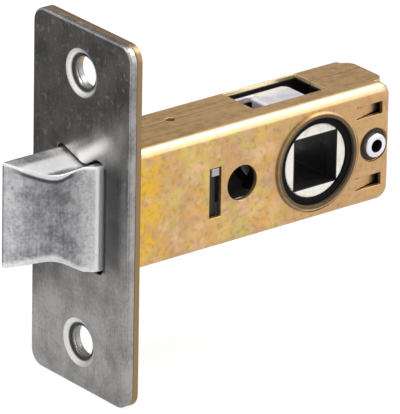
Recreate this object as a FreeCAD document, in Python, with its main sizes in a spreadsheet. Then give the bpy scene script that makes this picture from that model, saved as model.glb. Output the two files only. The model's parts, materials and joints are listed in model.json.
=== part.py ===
"""Tubular door latch: a sprung latch bolt, drawn back by a square-holed follower in a pressed case.

Frame: millimetres, the origin at the centre of the faceplate's front face, +X into the door,
+Z up. The bevel of the bolt faces -Y. The bolt is modelled thrown, which is how it rests.
"""
import FreeCAD, Part
import os
import re

import Sketcher

# Driving dimensions: name, millimetres (degrees for lobe_lean), meaning
SIZES = (
    ("backset", 40.0, "faceplate front to the follower's axis"),
    ("plate_height", 57.5, "faceplate and fixing plate"),
    ("plate_width", 23.5, "faceplate and fixing plate"),
    ("plate_corner", 2.5, "corner radius of both plates"),
    ("plate_edge", 0.35, "rounding of the faceplate's front rim"),
    ("faceplate_thick", 1.2, "outer satin plate"),
    ("fixing_thick", 1.0, "inner plate that carries the case"),
    ("screw_centres", 43.0, "distance between the wood-screw holes"),
    ("screw_hole", 4.8, "diameter of the wood-screw holes"),
    ("screw_sink", 7.6, "diameter of the countersinks"),
    ("sink_depth", 0.8, "depth of the countersinks"),
    ("mouth_gap", 0.55, "gap round the bolt in the faceplate"),
    ("mouth_corner", 1.1, "corner radius of the bolt's mouth"),
    ("case_height", 19.0, "outside of the case"),
    ("case_depth", 12.4, "outside of the case"),
    ("case_tail", 14.6, "follower's axis to the rear of the case"),
    ("case_corner", 2.2, "rear corners, seen from the side"),
    ("tongue_inset", 1.8, "rear tongues of the top and bottom walls, in from the case's sides"),
    ("tongue_corner", 2.0, "outer corners of those tongues"),
    ("sheet_thick", 0.9, "case sheet"),
    ("bend_radius", 1.4, "outside radius of the case's bends"),
    ("seam_offset", 1.5, "seam of the two halves, from the middle"),
    ("seam_gap", 0.14, "open joint between the halves"),
    ("notch_dia", 1.4, "round notch across the seam"),
    ("notch_set", 17.9, "faceplate front to the notch"),
    ("flange_height", 4.6, "front flanges above and below the case"),
    ("flange_inset", 1.5, "flange ends short of the case's sides"),
    ("flange_rivet_rise", 2.5, "rivets through the flanges, above and below the case"),
    ("flange_rivet_dia", 2.0, "shanks of those rivets"),
    ("flange_head_dia", 2.9, "heads of those rivets"),
    ("flange_head", 0.4, "height of those heads"),
    ("rivet_fit", 0.02, "radial clearance of rivets in their holes"),
    ("bolt_throw", 11.3, "bolt beyond the faceplate, before its tip is rounded"),
    ("bolt_tail", 7.6, "bolt behind the faceplate's front"),
    ("bolt_gap", 0.2, "bolt to the case's inner walls"),
    ("bevel_start", 0.55, "faceplate front to the foot of the bevel"),
    ("nose_set", 0.76, "end of the nose, out of the straight line from the tip to the bevel's foot"),
    ("nose_width", 3.0, "blunt nose, across the bolt"),
    ("nose_radius", 4.0, "easing from the bevel to the nose"),
    ("bolt_edge", 0.5, "small roundings of the bolt"),
    ("groove_near", 1.5, "near lip of the groove, in from the bolt's near side"),
    ("groove_valley", 0.9, "bottom of the groove, from the middle"),
    ("groove_far", 0.7, "far lip of the groove, in from the bolt's far side"),
    ("groove_depth", 1.7, "grooves along the bolt's top and bottom"),
    ("groove_radius", 2.4, "bottom radius of the grooves"),
    ("bolt_travel", 10.4, "stroke of the bolt"),
    ("spring_dia", 6.6, "outside of the bolt spring"),
    ("spring_wire", 0.8, "wire of the bolt spring"),
    ("spring_turns", 8.0, "coils of the bolt spring"),
    ("spring_gap", 0.5, "spring to its pocket and to its pin"),
    ("spring_seat", 0.02, "spring ends to their seats"),
    ("pocket_floor", 0.5, "faceplate front to the pocket's floor"),
    ("strap_thick", 0.9, "yoke strip"),
    ("strap_gap", 0.2, "yoke to the case's top and bottom"),
    ("strap_side_gap", 0.9, "yoke to the case's side walls"),
    ("strap_corner", 1.2, "outer bend and rear corners of the yoke"),
    ("yoke_rivet_dia", 2.2, "rivets through the yoke into the bolt"),
    ("yoke_head_dia", 3.5, "diameter of their heads"),
    ("yoke_rivet_head", 0.5, "height of their heads"),
    ("yoke_rivet_hold", 4.0, "their depth in the bolt"),
    ("yoke_rivet_out", 2.9, "sideways from the spring's axis"),
    ("yoke_rivet_up", 4.9, "up or down from the spring's axis"),
    ("plate_gap", 1.0, "drawn yoke to the spring plate"),
    ("rear_gap", 1.1, "drawn yoke to the case's rear wall"),
    ("support_thick", 1.4, "spring plate"),
    ("support_gap", 0.05, "spring plate to the case's side walls"),
    ("support_strap_gap", 0.4, "spring plate to the yoke"),
    ("slot_width", 2.2, "side slots that hold the spring plate"),
    ("slot_below", 4.4, "slot below the middle"),
    ("slot_above", 3.6, "slot above the middle"),
    ("tab_height", 1.2, "spring plate's tabs"),
    ("tab_gap", 0.15, "tabs to the slots' ends"),
    ("pin_dia", 4.0, "spring guide pin"),
    ("pin_point", 0.5, "chamfer of its tip"),
    ("pin_neck", 2.6, "its neck in the spring plate"),
    ("pin_gap", 0.9, "pin's tip to the drawn bolt"),
    ("pin_head", 0.5, "peened head behind the spring plate"),
    ("through_hole", 5.6, "hole for a handle's through bolt"),
    ("through_lead", 14.3, "that hole to the follower's axis"),
    ("square", 8.1, "spindle hole of the follower"),
    ("core_wall", 0.17, "follower's core past the corners of its square"),
    ("hub_dia", 11.8, "hubs of the follower's end caps"),
    ("hub_inset", 0.35, "hub ends below the case's faces"),
    ("hub_edge", 0.25, "rounding of the hub's ends"),
    ("shoulder_step", 0.8, "shoulders of the caps beyond their hubs"),
    ("shoulder_width", 0.8, "those shoulders, along the follower's axis"),
    ("shoulder_gap", 0.1, "shoulders to the bushes"),
    ("bearing_hole", 2.2, "bearing holes of the case, wider than the hubs"),
    ("bearing_fit", 0.05, "radial clearance of the hubs in the bushes"),
    ("bush_inset", 0.1, "bushes below the case's faces"),
    ("bush_flange", 0.8, "width of the bushes' flanges"),
    ("bush_flange_thick", 0.6, "thickness of the bushes' flanges"),
    ("collar_width", 0.8, "pressed collar round the bearing hole"),
    ("collar_height", 0.4, "collar above the case's face"),
    ("collar_edge", 0.2, "rounding of the collar's rim"),
    ("lobe_reach", 8.2, "follower's axis to the centre of a lobe's tip"),
    ("lobe_tip", 0.6, "tip radius of the lobes"),
    ("lobe_foot", 1.4, "front half of a lobe's foot"),
    ("lobe_root", 4.5, "follower's axis to a lobe's foot"),
    ("lobe_width", 4.4, "lobes, along the follower's axis"),
    ("lobe_lean", 47.0, "forward lean of the lobes at rest, degrees"),
    ("lobe_gap", 0.4, "lobes to the sides of the yoke's openings"),
    ("lip_lead", 5.0, "yoke's lips to the follower's axis"),
    ("lip_gap", 0.3, "yoke's lips above the core"),
    ("lip_bend", 0.7, "bend radius of the lips"),
    ("window_lead", 9.4, "windows, forward of the follower's axis"),
    ("window_trail", 4.6, "windows, behind the follower's axis"),
    ("window_near", 2.5, "windows, near edge from the middle"),
    ("window_far", 4.9, "windows, far edge from the middle"),
    ("end_rivet_set", 3.4, "hollow rivet to the case's rear"),
    ("end_rivet_dia", 3.0, "shank of the hollow rivet"),
    ("end_rivet_bore", 2.0, "bore of the hollow rivet"),
    ("end_rivet_head", 3.8, "rolled heads of the hollow rivet"),
    ("end_rivet_proud", 0.65, "heads above the case's faces"),
    ("end_rivet_roll", 0.33, "rounding of those heads"),
    ("dimple_dia", 5.4, "dimples under the rivet's heads"),
    ("dimple_depth", 0.45, "depth of those dimples"),
    ("spacer_dia", 5.0, "spacer sleeve on the hollow rivet"),
    ("lance_set", 1.9, "lances to the case's rear"),
    ("lance_length", 5.0, "lances, along the case"),
    ("lance_width", 2.0, "lances, across the case"),
    ("lance_height", 5.8, "lances above and below the middle"),
    ("lance_drop", 1.3, "free ends of the lances, pressed in"),
    ("lance_gap", 0.12, "saw gap beside the lances"),
    ("overcut", 1.0, "how far a cut runs past the faces it opens"),
)
NAMES = {name for name, _, _ in SIZES}

# Places that several pieces share, worked out from the sizes
SEAT = "(faceplate_thick + fixing_thick)"
CASE_Y = "(case_depth / 2)"
CASE_Z = "(case_height / 2)"
INNER_Y = "(case_depth / 2 - sheet_thick)"
INNER_Z = "(case_height / 2 - sheet_thick)"
CASE_END = "(backset + case_tail)"
BOLT_Y = f"({INNER_Y} - bolt_gap)"
BOLT_Z = f"({INNER_Z} - bolt_gap)"
NEAR_LIP = f"({BOLT_Y} - groove_near)"
FAR_LIP = f"({BOLT_Y} - groove_far)"
NOSE_X = f"(nose_width * (bolt_throw - bevel_start) / (2 * {BOLT_Y}) - nose_set - bolt_throw)"
MOUTH_Y = f"({BOLT_Y} + mouth_gap)"
MOUTH_Z = f"({BOLT_Z} + mouth_gap)"
SEAM_NEAR = "(seam_offset - seam_gap / 2)"
SEAM_FAR = "(seam_offset + seam_gap / 2)"
STRAP_OUT = f"({INNER_Z} - strap_gap)"
STRAP_IN = f"({STRAP_OUT} - strap_thick)"
STRAP_Y = f"({INNER_Y} - strap_side_gap)"
WEB_BACK = "(bolt_tail + strap_thick)"
YOKE_END = f"({CASE_END} - sheet_thick - rear_gap - bolt_travel)"
SUPPORT_X = f"({WEB_BACK} + bolt_travel + plate_gap)"
SUPPORT_BACK = f"({SUPPORT_X} + support_thick)"
SLOT_MID = f"({SUPPORT_X} + support_thick / 2)"
WINDOW_START = "(backset - window_lead)"
WINDOW_END = "(backset + window_trail)"
LOBE_MID = "((window_far - window_near) / 2)"
LOBE_LOW = f"({LOBE_MID} - lobe_width / 2)"
LOBE_HIGH = f"({LOBE_MID} + lobe_width / 2)"
CORE_RADIUS = "(square / sqrt(2) + core_wall)"
HUB_RADIUS = "(hub_dia / 2)"
BEARING_RADIUS = "((hub_dia + bearing_hole) / 2)"
BUSH_BACK = f"({INNER_Y} - bush_flange_thick)"
CAP_STOP = f"({BUSH_BACK} - shoulder_gap)"
CORE_END = f"({CAP_STOP} - shoulder_width)"
LIP_X = "(backset - lip_lead)"
LIP_Z = f"({CORE_RADIUS} + lip_gap)"
POCKET_RADIUS = "(spring_dia / 2 + spring_gap)"
END_RIVET_X = f"({CASE_END} - end_rivet_set)"
LANCE_END = f"({CASE_END} - lance_set)"
FLANGE_TOP = f"({CASE_Z} + flange_height)"
FLANGE_RIVET_Z = f"({CASE_Z} + flange_rivet_rise)"
FLANGE_Y = f"({CASE_Y} - flange_inset)"
NEAR_RIVET_Y = f"(({SEAM_NEAR} - {FLANGE_Y}) / 2)"
FAR_RIVET_Y = f"(({SEAM_FAR} + {FLANGE_Y}) / 2)"

# Radius of the ring that the corners of an outline start on, until they are tied to the sheet
START_RING = 10.0

doc = FreeCAD.newDocument("tubular_latch")
sheet = doc.addObject("Spreadsheet::Sheet", "Sizes")
for row, (name, number, meaning) in enumerate(SIZES, start=1):
    sheet.set(f"A{row}", str(number))
    sheet.setAlias(f"A{row}", name)
    sheet.set(f"B{row}", meaning)
doc.recompute()


def link(text):
    """Returns an expression in which each size is a cell of the sheet."""
    return re.sub(r"[a-z][a-z_]*", lambda found: cell(found.group()), str(text))


def cell(word):
    """Returns a word as the sheet's cell if it names a size, and as it is if it doesn't."""
    if word in NAMES:
        return "Sizes." + word
    return word


def minus(text):
    """Returns the expression for the opposite of a place."""
    return f"(-({text}))"


def value(text):
    """Returns what an expression of sizes comes to."""
    return float(sheet.evalExpression(link(text)))


def new_body(label):
    """Adds an empty body with the sub-part's name."""
    body = doc.addObject("PartDesign::Body", label)
    body.Label = label
    return body


def new_sketch(body, role, level):
    """Adds a sketch on one of the body's origin planes, moved to a level along that plane's axis."""
    count = sum(1 for item in doc.Objects if item.TypeId == "Sketcher::SketchObject")
    sketch = body.newObject("Sketcher::SketchObject", f"outline_{count}")
    plane = next(item for item in body.Origin.OriginFeatures if item.Role == role)
    sketch.AttachmentSupport = [(plane, "")]
    sketch.MapMode = "FlatFace"
    # The XZ plane faces -Y, so its levels count the other way
    sketch.setExpression("AttachmentOffset.Base.z", link(minus(level) if role == "XZ_Plane" else level))
    return sketch


def pin_point(sketch, index, position, across, up):
    """Ties one point of a sketch to its two coordinates."""
    for kind, place in (("DistanceX", across), ("DistanceY", up)):
        number = sketch.addConstraint(Sketcher.Constraint(kind, -1, 1, index, position, 1.0))
        sketch.setExpression(f"Constraints[{number}]", link(place))


def draw_polygon(sketch, points):
    """Draws a closed outline of straight lines through points tied to the sheet."""
    start = Part.makeCircle(START_RING).discretize(len(points) + 1)
    for first, second in zip(start, start[1:]):
        sketch.addGeometry(Part.LineSegment(first, second), False)
    for index in range(len(points)):
        sketch.addConstraint(Sketcher.Constraint("Coincident", index, 2, (index + 1) % len(points), 1))
    for index, (across, up) in enumerate(points):
        pin_point(sketch, index, 1, across, up)


def draw_circle(sketch, across, up, radius):
    """Draws a circle whose centre and radius are tied to the sheet."""
    up_axis = FreeCAD.Vector(0, 0, 1)
    index = sketch.addGeometry(Part.Circle(FreeCAD.Vector(), up_axis, 1), False)
    pin_point(sketch, index, 3, across, up)
    number = sketch.addConstraint(Sketcher.Constraint("Radius", index, 1.0))
    sketch.setExpression(f"Constraints[{number}]", link(radius))


def box_points(low, high, bottom, top):
    """Returns the corners of a rectangle."""
    return [(low, bottom), (high, bottom), (high, top), (low, top)]


def extrude(body, kind, role, shape, low, high):
    """Adds a Pad, or cuts a Pocket, between two levels along the axis that the plane is square to.

    The shape is a list of points, or a tuple of a centre and a radius. A pad grows along its
    sketch's normal and a pocket against it, so each starts from the matching level.
    """
    faces_up = role != "XZ_Plane"
    level = low if faces_up == (kind == "Pad") else high
    sketch = new_sketch(body, role, level)
    if isinstance(shape, tuple):
        draw_circle(sketch, *shape)
    else:
        draw_polygon(sketch, shape)
    feature = body.newObject(f"PartDesign::{kind}", f"{kind.lower()}_{sketch.Name}")
    feature.Profile = sketch
    feature.setExpression("Length", link(f"({high}) - ({low})"))
    doc.recompute()
    return feature


def turn(body, kind, axis_up, points):
    """Adds a Revolution, or cuts a Groove, about a line along X at a height, from (x, radius) points."""
    sketch = new_sketch(body, "XZ_Plane", "0")
    sketch.setExpression("AttachmentOffset.Base.y", link(axis_up))
    draw_polygon(sketch, points)
    feature = body.newObject(f"PartDesign::{kind}", f"{kind.lower()}_{sketch.Name}")
    feature.Profile = sketch
    feature.ReferenceAxis = (sketch, ["H_Axis"])
    feature.Angle = 360.0
    doc.recompute()
    return feature


def round_edges(body, size, test):
    """Rounds every edge of the body that passes a test of its end points and middle."""
    base = body.Tip
    edges = []
    for number, edge in enumerate(base.Shape.Edges, start=1):
        middle = edge.valueAt((edge.FirstParameter + edge.LastParameter) / 2)
        if test(edge, middle):
            edges.append(f"Edge{number}")
    feature = body.newObject("PartDesign::Fillet", f"round_{base.Name}")
    feature.Base = (base, edges)
    feature.setExpression("Radius", link(size))
    doc.recompute()
    return feature


def runs_along(edge, axis):
    """Tells whether an edge is a straight line along an axis, 0 to 2 for X to Z."""
    if not isinstance(edge.Curve, Part.Line):
        return False
    return abs(abs(edge.Curve.Direction[axis]) - 1) < 1e-6


def near(first, second):
    """Tells whether two places are the same."""
    return abs(first - second) < 1e-4


def build_faceplate():
    """The satin front plate, with the bolt's mouth and two countersunk screw holes."""
    body = new_body("faceplate")
    half_width, half_height = "plate_width / 2", "plate_height / 2"
    outline = box_points(minus(half_width), half_width, minus(half_height), half_height)
    extrude(body, "Pad", "YZ_Plane", outline, "0", "faceplate_thick")
    round_edges(body, "plate_corner", lambda edge, middle: runs_along(edge, 0))
    round_edges(body, "plate_edge", lambda edge, middle: near(middle.x, 0))
    mouth = bolt_section(MOUTH_Y, MOUTH_Z)
    extrude(body, "Pocket", "YZ_Plane", mouth, "-overcut", "faceplate_thick + overcut")
    side, valley = value(MOUTH_Y), value(f"{MOUTH_Z} - groove_depth")
    round_edges(body, "mouth_corner", lambda edge, middle: runs_along(edge, 0) and near(abs(middle.y), side))
    round_edges(
        body, "groove_radius", lambda edge, middle: runs_along(edge, 0) and near(abs(middle.z), valley)
    )
    for height in ("screw_centres / 2", "-screw_centres / 2"):
        sink = [("0", "0"), ("0", "screw_sink / 2"), ("sink_depth", "screw_hole / 2")]
        bore = [("faceplate_thick", "screw_hole / 2"), ("faceplate_thick", "0")]
        turn(body, "Groove", height, sink + bore)
    return body


def bolt_section(half_width, half_height):
    """Returns the bolt's cross-section, a block with a shallow groove along its top and bottom."""
    floor = f"({half_height} - groove_depth)"
    top = [(FAR_LIP, half_height), ("-groove_valley", floor), (minus(NEAR_LIP), half_height)]
    bottom = [(across, minus(up)) for across, up in reversed(top)]
    left = [(minus(half_width), half_height), (minus(half_width), minus(half_height))]
    right = [(half_width, minus(half_height)), (half_width, half_height)]
    return left + bottom + right + top


def build_fixing_plate():
    """The plate behind the faceplate, which the case's flanges are riveted to."""
    body = new_body("fixing_plate")
    half_width, half_height = "plate_width / 2", "plate_height / 2"
    outline = box_points(minus(half_width), half_width, minus(half_height), half_height)
    extrude(body, "Pad", "YZ_Plane", outline, "faceplate_thick", SEAT)
    round_edges(body, "plate_corner", lambda edge, middle: runs_along(edge, 0))
    mouth = box_points(minus(INNER_Y), INNER_Y, minus(INNER_Z), INNER_Z)
    extrude(body, "Pocket", "YZ_Plane", mouth, "faceplate_thick - overcut", f"{SEAT} + overcut")
    for height in ("screw_centres / 2", "-screw_centres / 2"):
        screw = ("0", height, "screw_hole / 2")
        extrude(body, "Pocket", "YZ_Plane", screw, "faceplate_thick - overcut", f"{SEAT} + overcut")
    for across, height in flange_rivet_places():
        shank = (across, height, "flange_rivet_dia / 2 + rivet_fit")
        extrude(body, "Pocket", "YZ_Plane", shank, "faceplate_thick - overcut", f"{SEAT} + overcut")
        head = (across, height, "flange_head_dia / 2 + rivet_fit")
        sunk = "faceplate_thick + flange_head"
        extrude(body, "Pocket", "YZ_Plane", head, "faceplate_thick - overcut", sunk)
    return body


def flange_rivet_places():
    """Returns the four rivets of the front flanges, each across and up."""
    heights = (FLANGE_RIVET_Z, minus(FLANGE_RIVET_Z))
    return [(across, height) for across in (NEAR_RIVET_Y, FAR_RIVET_Y) for height in heights]


def build_case_half(label, is_near):
    """One pressed half of the case: a tray with bent walls, its openings and its front flanges."""
    body = new_body(label)
    low, high = (minus(CASE_Y), SEAM_NEAR) if is_near else (SEAM_FAR, CASE_Y)
    press_tray(body, low, high, is_near)
    add_tongues(body, low, high, is_near)
    add_flanges(body, low, high, is_near)
    add_collar(body, is_near)
    pierce_side(body, is_near)
    add_lances(body, is_near)
    window_low, window_high = ("-window_near", f"{high} + overcut")
    if not is_near:
        window_low, window_high = (f"{low} - overcut", "window_far")
    window = box_points(WINDOW_START, WINDOW_END, window_low, window_high)
    extrude(body, "Pocket", "XY_Plane", window, minus(FLANGE_TOP), FLANGE_TOP)
    notch = ("notch_set", "seam_offset", "notch_dia / 2")
    extrude(body, "Pocket", "XY_Plane", notch, INNER_Z + " - overcut", FLANGE_TOP)
    return body


def press_tray(body, low, high, is_near):
    """Presses the tray: a rounded block, hollowed from the seam and open at the front."""
    profile = box_points(SEAT, CASE_END, minus(CASE_Z), CASE_Z)
    extrude(body, "Pad", "XZ_Plane", profile, low, high)
    front, rear, wall = value(SEAT), value(CASE_END), value(low if is_near else high)
    round_edges(body, "case_corner", lambda edge, middle: runs_along(edge, 1) and near(middle.x, rear))
    round_edges(body, "bend_radius", lambda edge, middle: near(middle.y, wall) and not near(middle.x, front))
    hollow = box_points(f"{SEAT} - overcut", f"{CASE_END} - sheet_thick", minus(INNER_Z), INNER_Z)
    ends = (minus(INNER_Y), f"{high} + overcut") if is_near else (f"{low} - overcut", INNER_Y)
    extrude(body, "Pocket", "XZ_Plane", hollow, *ends)
    inner_rear = value(f"{CASE_END} - sheet_thick")
    inner_corner = "case_corner - sheet_thick"
    round_edges(body, inner_corner, lambda edge, middle: runs_along(edge, 1) and near(middle.x, inner_rear))


def add_tongues(body, low, high, is_near):
    """Runs the top and bottom walls straight on past the rounded rear corners."""
    outer = f"({CASE_Y} - tongue_inset)"
    side_low, side_high = (minus(outer), high) if is_near else (low, outer)
    tongue = box_points(f"{CASE_END} - case_corner - sheet_thick", CASE_END, side_low, side_high)
    for bottom, top in ((INNER_Z, CASE_Z), (minus(CASE_Z), minus(INNER_Z))):
        extrude(body, "Pad", "XY_Plane", tongue, bottom, top)
    rear, side = value(CASE_END), value(side_low if is_near else side_high)

    def is_corner(edge, middle):
        return runs_along(edge, 2) and near(middle.x, rear) and near(middle.y, side)

    round_edges(body, "tongue_corner", is_corner)


def add_flanges(body, low, high, is_near):
    """Turns the front ends of the top and bottom walls outwards, for the rivets."""
    side_low, side_high = (minus(FLANGE_Y), high) if is_near else (low, FLANGE_Y)
    across = NEAR_RIVET_Y if is_near else FAR_RIVET_Y
    for bottom, top in ((INNER_Z, FLANGE_TOP), (minus(FLANGE_TOP), minus(INNER_Z))):
        flange = box_points(side_low, side_high, bottom, top)
        extrude(body, "Pad", "YZ_Plane", flange, SEAT, f"{SEAT} + sheet_thick")
    for height in (FLANGE_RIVET_Z, minus(FLANGE_RIVET_Z)):
        hole = (across, height, "flange_rivet_dia / 2 + rivet_fit")
        extrude(body, "Pocket", "YZ_Plane", hole, f"{SEAT} - overcut", f"{SEAT} + sheet_thick + overcut")


def add_collar(body, is_near):
    """Presses the raised collar round the bearing hole, and cuts that hole."""
    outer = ("backset", "0", f"{BEARING_RADIUS} + collar_width")
    top = f"{CASE_Y} + collar_height"
    levels = (minus(top), minus(INNER_Y)) if is_near else (INNER_Y, top)
    extrude(body, "Pad", "XZ_Plane", outer, *levels)
    rim = value(top)
    round_edges(body, "collar_edge", lambda edge, middle: near(abs(middle.y), rim))
    bore = ("backset", "0", BEARING_RADIUS)
    cut_side(body, bore, is_near)


def cut_side(body, shape, is_near):
    """Cuts a shape right through one side wall."""
    outer, inner = f"{CASE_Y} + collar_height + overcut", f"{INNER_Y} - overcut"
    levels = (minus(outer), minus(inner)) if is_near else (inner, outer)
    extrude(body, "Pocket", "XZ_Plane", shape, *levels)


def pierce_side(body, is_near):
    """Cuts the spring plate's slot, the through-bolt hole and the rear rivet's dimple and hole."""
    slot_low, slot_high = f"{SLOT_MID} - slot_width / 2", f"{SLOT_MID} + slot_width / 2"
    cut_side(body, box_points(slot_low, slot_high, "-slot_below", "slot_above"), is_near)
    cut_side(body, ("backset - through_lead", "0", "through_hole / 2"), is_near)
    cut_side(body, (END_RIVET_X, "0", "end_rivet_dia / 2 + rivet_fit"), is_near)
    floor, top = f"{CASE_Y} - dimple_depth", f"{CASE_Y} + overcut"
    levels = (minus(top), minus(floor)) if is_near else (floor, top)
    extrude(body, "Pocket", "XZ_Plane", (END_RIVET_X, "0", "dimple_dia / 2"), *levels)


def add_lances(body, is_near):
    """Cuts two short tongues free on three sides and presses their rear ends inwards."""
    sign = "-1" if is_near else "1"
    start = f"{LANCE_END} - lance_length"
    for side in ("lance_height", "-lance_height"):
        cut = box_points(start, LANCE_END, f"{side} - lance_width / 2", f"{side} + lance_width / 2")
        cut_side(body, cut, is_near)
        tongue = [
            (f"{start} - sheet_thick / 2", f"{sign} * {CASE_Y}"),
            (start, f"{sign} * {CASE_Y}"),
            (LANCE_END, f"{sign} * ({CASE_Y} - lance_drop)"),
            (LANCE_END, f"{sign} * ({INNER_Y} - lance_drop)"),
            (f"{start} - sheet_thick / 2", f"{sign} * {INNER_Y}"),
        ]
        half = "lance_width / 2 - lance_gap"
        extrude(body, "Pad", "XY_Plane", tongue, f"{side} - ({half})", f"{side} + ({half})")


def cylinder(name, radius, start, end, across, up):
    """Adds a round bar along X between two places."""
    bar = doc.addObject("Part::Cylinder", name)
    bar.setExpression("Radius", link(radius))
    bar.setExpression("Height", link(f"({end}) - ({start})"))
    bar.Placement = FreeCAD.Placement(FreeCAD.Vector(), FreeCAD.Rotation(FreeCAD.Vector(0, 1, 0), 90))
    for axis, place in (("x", start), ("y", across), ("z", up)):
        bar.setExpression(f"Placement.Base.{axis}", link(place))
    return bar


def rivet_group(label, places, bars):
    """Makes like rivets at several places one sub-part. Each bar is a radius, a start and an end."""
    rivets = []
    for count, (across, up) in enumerate(places, start=1):
        rivet = doc.addObject("Part::MultiFuse", f"{label}_{count}")
        rivet.Shapes = [cylinder(f"{label}_bar", *bar, across, up) for bar in bars]
        rivet.Refine = True
        rivets.append(rivet)
    group = doc.addObject("Part::Compound", label)
    group.Label = label
    group.Links = rivets
    return group


def build_front_rivets():
    """Four rivets from the fixing plate through the case's flanges, flush under the faceplate."""
    back = f"{SEAT} + sheet_thick"
    bars = (
        ("flange_head_dia / 2", "faceplate_thick", "faceplate_thick + flange_head"),
        ("flange_rivet_dia / 2", "faceplate_thick", f"{back} + flange_head"),
        ("flange_head_dia / 2", back, f"{back} + flange_head"),
    )
    return rivet_group("front_rivets", flange_rivet_places(), bars)


def build_yoke_rivets():
    """Two rivets that hold the yoke's web to the back of the bolt."""
    bars = (
        ("yoke_rivet_dia / 2", "bolt_tail - yoke_rivet_hold", f"{WEB_BACK} + yoke_rivet_head"),
        ("yoke_head_dia / 2", WEB_BACK, f"{WEB_BACK} + yoke_rivet_head"),
    )
    return rivet_group("yoke_rivets", yoke_rivet_places(), bars)


def yoke_rivet_places():
    """Returns the yoke's two rivets, each across and up, on a diagonal past the spring's pocket."""
    return [("yoke_rivet_out", "yoke_rivet_up"), ("-yoke_rivet_out", "-yoke_rivet_up")]


def ring(body, kind, across, radius, low, high):
    """Adds or cuts a round disc about a line along Y."""
    extrude(body, kind, "XZ_Plane", (across, "0", radius), low, high)


def build_rear_rivet():
    """The hollow rivet that closes the rear of the two halves, with a rolled head each side."""
    body = new_body("rear_rivet")
    top, floor = f"({CASE_Y} + end_rivet_proud)", f"({CASE_Y} - dimple_depth)"
    ring(body, "Pad", END_RIVET_X, "end_rivet_dia / 2", minus(top), top)
    ring(body, "Pad", END_RIVET_X, "end_rivet_head / 2", minus(top), minus(floor))
    ring(body, "Pad", END_RIVET_X, "end_rivet_head / 2", floor, top)
    face = value(top)
    round_edges(body, "end_rivet_roll", lambda edge, middle: near(abs(middle.y), face))
    ring(body, "Pocket", END_RIVET_X, "end_rivet_bore / 2", f"-{top} - overcut", f"{top} + overcut")
    return body


def build_rear_spacer():
    """The sleeve on the hollow rivet that keeps the two side walls apart."""
    body = new_body("rear_spacer")
    ring(body, "Pad", END_RIVET_X, "spacer_dia / 2", minus(INNER_Y), INNER_Y)
    bore = "end_rivet_dia / 2 + rivet_fit"
    ring(body, "Pocket", END_RIVET_X, bore, f"-{INNER_Y} - overcut", f"{INNER_Y} + overcut")
    return body


def build_latch_bolt():
    """The cast bolt: a grooved bar cut to a bevelled plan, with the spring's pocket behind."""
    bar = new_body("bolt_bar")
    extrude(bar, "Pad", "YZ_Plane", bolt_section(BOLT_Y, BOLT_Z), "-bolt_throw", "bolt_tail")
    side, valley = value(BOLT_Y), value(f"{BOLT_Z} - groove_depth")
    round_edges(
        bar, "groove_radius", lambda edge, middle: runs_along(edge, 0) and near(abs(middle.z), valley)
    )
    round_edges(bar, "bolt_edge", lambda edge, middle: runs_along(edge, 0) and near(abs(middle.y), side))
    plan = new_body("bolt_plan")
    outline = [
        ("bolt_tail", minus(BOLT_Y)),
        ("bolt_tail", BOLT_Y),
        ("-bolt_throw", BOLT_Y),
        (NOSE_X, f"{BOLT_Y} - nose_width"),
        ("-bevel_start", minus(BOLT_Y)),
    ]
    extrude(plan, "Pad", "XY_Plane", outline, f"-{BOLT_Z} - overcut", f"{BOLT_Z} + overcut")
    tip, nose = value("-bolt_throw"), value(NOSE_X)
    round_edges(plan, "bolt_edge", lambda edge, middle: runs_along(edge, 2) and near(middle.x, tip))
    round_edges(plan, "nose_radius", lambda edge, middle: runs_along(edge, 2) and near(middle.x, nose))
    casting = doc.addObject("Part::Common", "bolt_casting")
    casting.Base = bar
    casting.Tool = plan
    past = "bolt_tail + overcut"
    bores = [cylinder("spring_pocket", POCKET_RADIUS, "pocket_floor", past, "0", "0")]
    for across, up in yoke_rivet_places():
        radius, floor = "yoke_rivet_dia / 2 + rivet_fit", "bolt_tail - yoke_rivet_hold"
        bores.append(cylinder("rivet_bore", radius, floor, past, across, up))
    waste = doc.addObject("Part::MultiFuse", "bolt_bores")
    waste.Shapes = bores
    bolt = doc.addObject("Part::Cut", "latch_bolt")
    bolt.Label = "latch_bolt"
    bolt.Base = casting
    bolt.Tool = waste
    return bolt


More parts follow.
